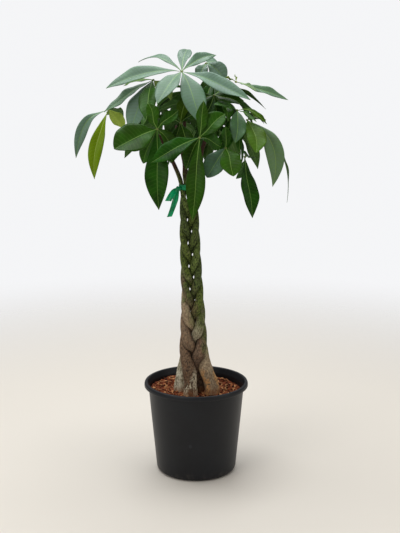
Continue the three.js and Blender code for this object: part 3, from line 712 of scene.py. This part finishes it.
tape, tree, shader = new_material("garden tape")
broad, fine = mottling(tree, 30)
base = mixed(tree, fade(tree, broad, 0.35, 0.65), colour("007a48"), colour("00aa6a"))
tree.links.new(base, shader.inputs["Base Color"])
tree.links.new(rough_between(tree, fine, 0.2, 0.36), shader.inputs["Roughness"])
shader.inputs["Specular IOR Level"].default_value = 0.35
shader.inputs["Coat Weight"].default_value = 0.06
shader.inputs["Coat Roughness"].default_value = 0.08
relief(tree, shader, broad, 0.3, 0.0015)
ribbon = finished(bm, "garden_tape", [tape], "ribbon")


# Leaves: each is one growth, a slender stalk that springs from a shoot and ends in a small
# swelling, from which soft waxy leaflets spread like fingers. A leaflet is folded along its rib,
# quilted between its veins and waved at its edges.

# The front leaves: trunk, how far up the shoot, joint, the way the upper side faces, and for each
# leaflet its tip, width, arch and roll in degrees
FRONT_LEAVES = [
    (2, 0.97, (-34, -10, 1008), (0, -0.3, 0.95), [
        (-212, -50, 968, 52, 30, -20), (-145, 90, 1034, 34, 44, 0), (-88, -130, 932, 54, 16, 0),
        (129, -60, 941, 48, 14, 26), (50, 70, 1050, 33, 20, 30), (-24, 140, 1068, 36, 22, 0),
        (12, -120, 885, 60, 26, 0)]),
    (3, 0.93, (-102, -20, 988), (-0.3, -0.35, 0.88), [
        (-217, -58, 913, 34, 8, -14), (-179, 45, 975, 20, 12, 0), (-164, -80, 877, 58, 18, -10),
        (-102, -95, 875, 48, 16, 0), (-62, 62, 941, 36, 14, 0)]),
    (3, 0.8, (-208, -34, 918), (-0.5, -0.2, 0.84), [
        (-286, -55, 805, 28, 54, -74), (-241, -72, 756, 35, 24, -59), (-176, 2, 874, 34, 6, 0),
        (-186, 92, 890, 38, 16, 0)]),
    (3, 0.55, (-89, -115, 875), (-0.1, -0.6, 0.78), [
        (-184, -165, 832, 80, 8, -22), (-85, -150, 692, 57, 20, 0), (-133, -92, 796, 46, 8, 0),
        (-112, -96, 930, 32, 6, 0), (-40, -98, 918, 32, 6, 20), (-48, -84, 822, 44, 8, 10)]),
    (0, 0.7, (9, -125, 856), (0.05, -0.65, 0.76), [
        (-100, -165, 802, 48, 14, -8), (-8, -150, 667, 46, 22, 0), (-30, -106, 782, 38, 10, 0),
        (19, -92, 934, 30, 8, 20), (64, -118, 914, 50, 8, 0), (58, -104, 834, 40, 10, 20)]),
    (0, 0.97, (70, -85, 830), (0.2, -0.6, 0.78), [
        (26, -125, 764, 52, 12, 0), (84, -130, 762, 54, 12, 0), (108, -106, 788, 34, 10, 0),
        (70, -84, 880, 26, 6, 0)]),
    (0, 0.85, (117, -50, 807), (0.5, -0.4, 0.76), [
        (135, -80, 664, 44, 0, 24), (98, -14, 752, 30, 10, 0), (130, 34, 800, 32, 12, 0)]),
    (1, 0.75, (99, -20, 917), (0.35, -0.3, 0.88), [
        (171, -22, 884, 18, 26, 20), (144, -54, 890, 16, 8, 20), (92, -88, 842, 42, 20, 0),
        (104, -60, 815, 24, 12, 60), (43, -66, 930, 34, 10, 0)]),
    (1, 0.85, (124, -5, 893), (0.5, -0.2, 0.84), [
        (186, -30, 734, 46, 74, 70), (133, -84, 810, 54, 22, 20), (230, 50, 686, 26, 80, 0),
        (168, 84, 893, 40, 16, 0)]),
    (1, 0.97, (97, 10, 984), (0.1, -0.1, 0.98), [
        (224, 10, 941, 26, 4, 40), (62, 0, 994, 13, 6, 20), (146, -20, 961, 14, 8, 20),
        (94, 6, 1002, 8, 2, 0)]),
    (2, 0.85, (25, 70, 1030), (0.1, -0.5, 0.86), [
        (72, 52, 990, 46, 14, 40), (6, 46, 994, 34, 8, 0), (58, 140, 1034, 36, 10, 0)]),
    (2, 0.4, (-36, -62, 888), (-0.05, -0.6, 0.8), [
        (-66, -92, 800, 40, 10, 0), (-22, -96, 806, 42, 12, 0), (-92, -62, 900, 34, 8, -20),
        (-20, -60, 958, 34, 6, 0), (14, -70, 918, 28, 6, 20)]),
    (1, 0.55, (44, -24, 952), (0.1, -0.5, 0.86), [
        (10, -64, 866, 42, 12, 0), (52, -20, 866, 40, 12, 0), (104, -50, 924, 36, 10, 20),
        (-28, -52, 930, 36, 8, -20), (72, 40, 968, 36, 8, 0)]),
]

# The leaves behind follow a rule: their joints lie spread over an egg shape round the shoots, and
# each opens outward and droops. Angles are in degrees.
BACK_LEAVES, SEED = 11, 613
BACK_TRUNKS = [1, 4, 2, 3]
BACK_BEARINGS, BACK_LEVELS, BACK_SPREAD = (8, 156), (872, 990), (0.7549, 0.5698)
BACK_CENTRE, BACK_REACH, BACK_SWELL = (-30, 25), (112, 128), (1.05, 0.72)
BACK_SPRINGING = (0.62, 0.96)
BACK_LEAFLET, BACK_SHORTENING, BACK_WIDTH, BACK_ARCH = 142, 0.055, 0.3, 0.17
BACK_FAN, BACK_ROLL = 285, 22
BACK_DROOP, BACK_OUTER_DROOP, BACK_DROOP_VARIES = 34, 14, 16

# How yellow a leaflet is where it isn't green, partly its own yellow-green and partly painted light
# shining through leaflets lit from behind; and the painted shade and painted sheen of a leaf or one
# of
# its leaflets: 0 is the darkest painted shade, deep in the crown, 0.3 the usual green and 1 the
# pale painted sheen of overhead light on the upper leaves
YELLOW = {
    (2, 2): 0.25, (2, 5): 0.3, (3, 2): 0.72, (3, 3): 0.95, (8, 1): 0.2, (9, 1): 0.28,
    (9, 2): 0.2, (9, 4): 0.3, (10, 1): 0.1, (10, 2): 0.8, (10, 3): 0.4, (10, 4): 0.9,
    (12, 4): 0.25,
}
PAINTED_SHADE_AND_SHEEN = {
    1: 0.9, 2: 0.55, 3: 0.55, 4: 0.21, 5: 0.17, 6: 0.25, 7: 0.15, 8: 0.3, 9: 0.35, 10: 0.8,
    11: 1.1, 12: 0.12, 13: 0.05,
    (1, 4): 1, (1, 7): 0.85, (2, 1): 0.8, (2, 3): 1.15, (2, 4): 0.3, (3, 1): 1, (3, 2): 0.2,
    (3, 3): 0.6, (4, 1): 0.15, (6, 1): 0.7, (8, 1): 0.15, (8, 3): 0.6, (9, 1): 0.75,
}
STALK_YELLOW, USUAL_STALK = {10: 0.9}, 0.25

# A leaflet: its mesh, its thickness, its fold, its waves and quilting, how blunt a broad one is,
# and its side veins, which sweep forward from the rib
BLADE_ROWS, BLADE_COLUMNS, BLADE_THICKNESS = 44, 12, 0.55
ROOT_HALF_WIDTH, TIP_HALF_WIDTH, CREST = 1.3, 0.35, 0.45
FOLD = math.radians(14)
WAVE, WAVES, EDGE_WAVES, QUILT = 2, 11, 21, 0.15
BLUNT_ABOVE, BLUNT_RANGE = 0.34, 0.2
VEIN_GAP, VEIN_SWEEP, VEIN_BEND = 8.5, 1.15, 1.25

# A stalk: its radii, its mesh, and by what shares of its reach it leaves the shoot outward and up
# and comes to the joint from below
STALK_FOOT_RADIUS, STALK_RADIUS, JOINT_RADIUS = 2.6, 1.6, 3.4
STALK_ROWS, STALK_FOOT_ROWS, STALK_SIDES = 30, 10, 10
STALK_OUT, STALK_RISE, STALK_ARRIVAL = 0.22, 0.25, 0.3

# How finely a leaf is turned and bowed to stand as its leaf in the frame does, and the places on
# its ribs and on its stalk where the two are compared
TURN_STEP, TURN_LIMIT = 7, 7
BOW_STEP, BOW_LIMIT = 14, 4
RIB_MARKS = (0.5, 0.79, 1)
STALK_MARKS = (0.3, 0.4, 0.5, 0.6, 0.7, 0.8)


def park_miller(state):
    """The row of random numbers from 0 to 1 that the leaves at the back are placed by."""
    while True:
        state = state * 16807 % 2147483647
        yield state / 2147483647


def back_leaflets(joint, bearing, draw):
    """The leaflets of a leaf made by rule: fanned out from its bearing, the side ones shorter."""
    count = 5 if next(draw) < 0.5 else 6
    for j in range(count):
        place = j - (count - 1) / 2
        fan = math.radians(place * BACK_FAN / count)
        length = BACK_LEAFLET * (1 - BACK_SHORTENING * place**2) * between(0.86, 1.1, next(draw))
        extra = BACK_OUTER_DROOP * math.cos(fan) + BACK_DROOP_VARIES * next(draw)
        droop = math.radians(BACK_DROOP + extra)
        way = Vector((math.cos(bearing + fan), math.sin(bearing + fan), 0)) * math.cos(droop)
        way.z = -math.sin(droop)
        roll = between(-BACK_ROLL, BACK_ROLL, next(draw))
        yield *(joint + way * length), length * BACK_WIDTH, length * BACK_ARCH, roll


def back_leaves():
    """The leaves behind and beside, each opening outward and drooping."""
    draw = park_miller(SEED)
    for i in range(BACK_LEAVES):
        bearing = math.radians(between(*BACK_BEARINGS, (0.5 + i * BACK_SPREAD[0]) % 1))
        level = (0.5 + i * BACK_SPREAD[1]) % 1
        outward = Vector((math.cos(bearing), math.sin(bearing), 0))
        swell = between(*BACK_SWELL, level) * between(0.85, 1.1, next(draw))
        x, y = (c + r * swell * out for c, r, out in zip(BACK_CENTRE, BACK_REACH, outward))
        joint = Vector((x, y, between(*BACK_LEVELS, level)))
        trunk = min(BACK_TRUNKS, key=lambda one: (Vector(TIPS[one]) - joint).length)
        face = outward * 0.4 + Vector((0, 0, 1))
        leaflets = list(back_leaflets(joint, bearing, draw))
        yield trunk, between(*BACK_SPRINGING, level), joint, face, leaflets


def frame_points(name):
    """The points of a leaf of the frame in millimetres, to find the nearest of them."""
    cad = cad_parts[name]
    points = kdtree.KDTree(len(cad.data.vertices))
    for i, vert in enumerate(cad.data.vertices):
        points.insert(cad.matrix_world @ vert.co * 1000, i)
    points.balance()
    return points


def steps_both_ways(limit):
    """All pairs of whole steps, each from minus the limit to the limit."""
    steps = range(-limit, limit + 1)
    return [(first, second) for first in steps for second in steps]


def turned_tip(joint, face, tip, down, aside):
    """A leaflet's tip turned about the joint by steps down and to one side."""
    reach = tip - joint
    side = reach.cross(face).normalized()
    reach = Quaternion(side, math.radians(-down * TURN_STEP)) @ reach
    return joint + Quaternion(face, math.radians(aside * TURN_STEP)) @ reach


def leaflet_rib(joint, face, tip, arch):
    """The rib's curve, and the side to which the blade spreads."""
    chord = (tip - joint).normalized()
    side = chord.cross(face).normalized()
    crest = joint.lerp(tip, CREST) + side.cross(chord) * arch
    return (joint, crest, tip), side


def as_it_stands(joint, face, leaflet, points):
    """A leaflet's tip with the turn that keeps the leaflet clear of its neighbours in the frame."""
    *drawn, _, arch, _ = leaflet

    def misfit(tip):
        rib, _ = leaflet_rib(joint, face, tip, arch)
        return sum(points.find(quadratic(rib, s))[2] for s in RIB_MARKS)

    turns = steps_both_ways(TURN_LIMIT)
    return min((turned_tip(joint, face, Vector(drawn), *turn) for turn in turns), key=misfit)


def cubic(points, t):
    """A point of a curve from the first of four points to the last, drawn to the two between."""
    a, b, c, d = points
    return a * (1 - t) ** 3 + b * (3 * t * (1 - t) ** 2) + c * (3 * t * t * (1 - t)) + d * t**3


def stalk_curve(foot, joint, face, bow):
    """A stalk leaves its shoot outward and up, and comes to the joint from below."""
    bow = Vector((*bow, 0)) * BOW_STEP
    reach = (joint - foot).length
    outward = Vector((joint.x - foot.x, joint.y - foot.y, 0)).normalized()
    start = foot + bow + (outward * STALK_OUT + Vector((0, 0, STALK_RISE))) * reach
    return foot, start, joint + bow - face * (reach * STALK_ARRIVAL), joint


def stalk_as_it_stands(foot, joint, face, points):
    """The stalk's curve with the bow that keeps it clear of its neighbours in the frame."""

    def misfit(curve):
        return sum(points.find(cubic(curve, t))[2] for t in STALK_MARKS)

    bows = steps_both_ways(BOW_LIMIT)
    return min((stalk_curve(foot, joint, face, bow) for bow in bows), key=misfit)


def tube(bm, centres, radii, around):
    """A round stem through the centres. Its ends are closed where the radius is 0."""
    rows = len(centres) - 1
    ways = []
    for i in range(rows + 1):
        ways.append((centres[min(i + 1, rows)] - centres[max(i - 1, 0)]).normalized())
    normal = ways[0].orthogonal().normalized()
    normals = []
    for way in ways:
        normal = (normal - way * normal.dot(way)).normalized()
        normals.append(normal)

    def place(u, v):
        row = round(v * rows)
        turn = 2 * math.pi * u
        out = normals[row] * math.cos(turn) + ways[row].cross(normals[row]) * math.sin(turn)
        return centres[row] + out * radii[row]

    verts = sheet_grid(bm, around, rows, place)
    faces = faces_of(verts)
    bmesh.ops.remove_doubles(bm, verts=verts, dist=0.001)
    return [face for face in faces if face.is_valid]


def blade(bm, joint, face, tip, leaflet, layers, look, chance):
    """One leaflet: its rib, its two lobes with quilting and waved edges, and its tint."""
    _, _, _, width, arch, roll = leaflet
    rib, side = leaflet_rib(joint, face, tip, arch)
    length = (tip - joint).length
    blunt = clamped((width / length - BLUNT_ABOVE) / BLUNT_RANGE)
    veins = round(length / VEIN_GAP)
    phase, ruffle = chance.uniform(0, 6.28), chance.uniform(0.6, 1.6)
    twist, sway = chance.uniform(-16, 16), chance.uniform(-2.5, 2.5)
    uneven_lobes = chance.uniform(-0.25, 0.25)

    def outline(s):
        """How wide it is along its rib, from 0 at its root and tip to 1 past its middle."""
        return max(0, math.sin(math.pi * s ** (1.3 + 0.15 * blunt))) ** (1 - 0.3 * blunt)

    def half_width(s):
        return max(between(ROOT_HALF_WIDTH, TIP_HALF_WIDTH, s), width / 2 * outline(s))

    def place(u, s):
        """Its surface: u goes from edge to edge and s from its root to its tip."""
        u = 2 * u - 1
        spread, other_lobe = abs(u), u > 0
        half, full = half_width(s), outline(s)
        along = quadratic_way(rib, s)
        turn = math.radians(roll * min(1, s * 2.5) + twist * eased(s, 0.45, 1))
        across = Quaternion(along, turn) @ side
        line = s * veins - VEIN_SWEEP * spread**VEIN_BEND + 0.5 * other_lobe
        fading = min(1, 4 * spread) * (1 - spread**4) * full
        # fold, wave of the lobes, ruffle of the edges, quilting and rounding of the lobes
        lift = half * math.sin(FOLD) * (math.sqrt(spread**2 + 0.012) - 0.1) * (1 + uneven_lobes * u)
        lift += WAVE * math.sin(s * WAVES + width) * full * u * u
        lift += ruffle * math.sin(s * EDGE_WAVES + phase + 1.7 * other_lobe) * full * spread**3
        lift -= QUILT * math.cos(2 * math.pi * line) * fading
        lift += 0.06 * half * math.sin(math.pi * spread)
        aside = half * math.cos(FOLD) * u
        aside += sway * math.sin(2 * math.pi * s) * eased(s, 0, 0.3)
        return quadratic(rib, s) + across * aside + across.cross(along) * lift

    uv, metric, tint = layers
    verts = sheet_grid(bm, BLADE_COLUMNS, BLADE_ROWS, place)
    upper = faces_of(verts)
    for one in upper:
        for loop in one.loops:
            u, s = loop[uv].uv
            loop[metric].uv = (2 * u - 1) * half_width(s) / 10 + 0.5, s * veins
    # the tint holds the leaflet's yellow, its painted shade and sheen, and whether it is the
    # underside
    toned(upper, tint, (*look, 0, 1))
    lower = thickened(bm, verts, BLADE_THICKNESS)
    toned(lower, tint, (*look, 1, 1))


def leaf_material():
    """Leaflets: green or yellow, with painted shade or painted sheen as their tint says, with pale
    veins and dull undersides.

    One UV map runs over the leaflet, and the other counts centimetres from its rib and its side
    veins.
    """
    made, tree, shader = new_material("leaf blade")
    whole = node(tree, "ShaderNodeUVMap", uv_map="UVMap").outputs[0]
    metric = node(tree, "ShaderNodeUVMap", uv_map="metric").outputs[0]
    u, along, _ = node(tree, "ShaderNodeSeparateXYZ", {0: whole}).outputs
    from_rib, counted, _ = node(tree, "ShaderNodeSeparateXYZ", {0: metric}).outputs
    tint = node(tree, "ShaderNodeAttribute", attribute_name="tint").outputs["Color"]
    yellow, painted_shade_and_sheen, under = node(tree, "ShaderNodeSeparateColor", {0: tint}).outputs
    broad, fine = mottling(tree, 26)

    across = maths(tree, "MULTIPLY_ADD", u, 2, -1)
    spread = maths(tree, "ABSOLUTE", across)
    other_lobe = product(tree, maths(tree, "GREATER_THAN", across, 0), 0.5)
    swept = product(tree, maths(tree, "POWER", spread, VEIN_BEND), -VEIN_SWEEP)
    line = maths(tree, "ADD", maths(tree, "ADD", counted, swept), other_lobe)
    line = maths(tree, "MULTIPLY_ADD", broad, 0.5, line)
    halfway = maths(tree, "SUBTRACT", maths(tree, "FRACT", line), 0.5)
    off = maths(tree, "SUBTRACT", 0.5, maths(tree, "ABSOLUTE", halfway))
    side_vein = product(tree, fade(tree, off, 0.1, 0.02), fade(tree, spread, 1, 0.55))
    distance = maths(tree, "ABSOLUTE", maths(tree, "SUBTRACT", from_rib, 0.5))
    thick = maths(tree, "MULTIPLY_ADD", along, -0.055, 0.07)
    rib = fade(tree, maths(tree, "SUBTRACT", distance, thick), 0.05, -0.02)
    veins = maths(tree, "MAXIMUM", product(tree, rib, 0.8), product(tree, side_vein, 0.1))

    deep = mixed(tree, fade(tree, broad, 0.3, 0.7), colour("173c06"), colour("275c0c"))
    # yellow: partly the leaflets' own yellow-green and partly painted light shining through
    # leaflets lit from behind
    deep = mixed(tree, yellow, deep, colour("87a510"))
    # painted shade: leaves below the usual 0.3 darken towards 0d2205, as if shaded deep in the
    # crown
    dark = product(tree, fade(tree, painted_shade_and_sheen, 0.3, 0), 0.55)
    deep = mixed(tree, dark, deep, colour("0d2205"))
    # painted sheen and painted highlight: leaves above it pale towards 7d9889, overhead light
    # reflected from their upper sides, most on the quilted crests between the side veins
    sheen = fade(tree, painted_shade_and_sheen, 0.25, 1.15)
    crest = fade(tree, off, 0.03, 0.3)
    painted_sheen_share = product(tree, sheen, maths(tree, "MULTIPLY_ADD", crest, 0.09, 0.56))
    deep = mixed(tree, painted_sheen_share, deep, colour("7d9889"))
    pale = mixed(tree, yellow, colour("7fa24e"), colour("b8c868"))
    upper = mixed(tree, veins, deep, pale)
    lower = mixed(tree, product(tree, veins, 0.7), colour("3f6430"), colour("86a262"))
    # the underside's yellow is likewise partly its own and partly painted light shining through
    lower = mixed(tree, product(tree, yellow, 0.8), lower, colour("b0c850"))
    tree.links.new(mixed(tree, under, upper, lower), shader.inputs["Base Color"])

    rough = maths(tree, "MULTIPLY_ADD", under, 0.2, rough_between(tree, fine, 0.3, 0.46))
    tree.links.new(rough, shader.inputs["Roughness"])
    shader.inputs["Specular IOR Level"].default_value = 0.1
    tree.links.new(product(tree, sheen, 0.3), shader.inputs["Coat Weight"])
    shader.inputs["Coat Roughness"].default_value = 0.42
    quilted = product(tree, maths(tree, "SINE", product(tree, off, math.pi)), 0.6)
    height = maths(tree, "MULTIPLY_ADD", fine, 0.25, quilted)
    relief(tree, shader, maths(tree, "SUBTRACT", height, veins), 0.35, 0.0006)
    return made


def stalk_material():
    """Stalks and joints: olive green with soft lengthways streaks."""
    made, tree, shader = new_material("leaf stalk")
    tint = node(tree, "ShaderNodeAttribute", attribute_name="tint").outputs["Color"]
    yellow = node(tree, "ShaderNodeSeparateColor", {0: tint}).outputs[0]
    broad, fine = mottling(tree, 60, 0.4)
    base = mixed(tree, fade(tree, broad, 0.35, 0.65), colour("3f4f22"), colour("66703a"))
    base = mixed(tree, yellow, base, colour("a4ad44"))
    tree.links.new(base, shader.inputs["Base Color"])
    shader.inputs["Roughness"].default_value = 0.5
    relief(tree, shader, fine, 0.3, 0.0006)
    return made


def stalk_and_joint(bm, curve, joint, face):
    """The faces of a stalk, thicker at its foot, and of the swelling that it ends in."""
    centres = [cubic(curve, i / STALK_ROWS) for i in range(STALK_ROWS + 1)]
    slimming = [min(1, i / STALK_FOOT_ROWS) for i in range(STALK_ROWS + 1)]
    radii = [between(STALK_FOOT_RADIUS, STALK_RADIUS, share) for share in slimming]
    faces = tube(bm, [centres[0], *centres, centres[-1]], [0, *radii, 0], STALK_SIDES)
    swelling = bmesh.ops.create_icosphere(bm, subdivisions=3, radius=1)["verts"]
    for vert in swelling:
        vert.co = joint + vert.co * JOINT_RADIUS - face * (1.1 * vert.co.dot(face))
    return faces + faces_of(swelling)


blade_green, stalk_green = leaf_material(), stalk_material()
chance = random.Random(11)
for number, (trunk, share, joint, face, leaflets) in enumerate([*FRONT_LEAVES, *back_leaves()], 1):
    points = frame_points(f"leaf_{number:02d}")
    joint, face = Vector(joint), Vector(face).normalized()
    foot = trunk_point(trunk, between(TIE_HEIGHT, TIPS[trunk][2], share))
    bm = bmesh.new()
    uv, metric = bm.loops.layers.uv.new("UVMap"), bm.loops.layers.uv.new("metric")
    tint = bm.loops.layers.float_color.new("tint")
    for place, leaflet in enumerate(leaflets, 1):
        tip = as_it_stands(joint, face, leaflet, points)
        # a leaf not in the tables gets a little yellow and a random painted shade, at most a faint
        # painted sheen
        usual_yellow, usual_painted_shade_and_sheen = 0.08 * chance.random(), between(0.05, 0.35, chance.random())
        yellow = YELLOW.get((number, place), usual_yellow)
        painted_shade_and_sheen = PAINTED_SHADE_AND_SHEEN.get((number, place), PAINTED_SHADE_AND_SHEEN.get(number, usual_painted_shade_and_sheen))
        blade(bm, joint, face, tip, leaflet, (uv, metric, tint), (yellow, painted_shade_and_sheen), chance)
    bmesh.ops.recalc_face_normals(bm, faces=bm.faces)
    curve = stalk_as_it_stands(foot, joint, face, points)
    stalk = stalk_and_joint(bm, curve, joint, face)
    bmesh.ops.recalc_face_normals(bm, faces=stalk)
    for one in stalk:
        one.material_index = 1
    toned(stalk, tint, (STALK_YELLOW.get(number, USUAL_STALK), 0, 0, 1))
    name = f"leaf_piece_{number:02d}"
    finished(bm, name, [blade_green, stalk_green], f"leaf_{number:02d}")
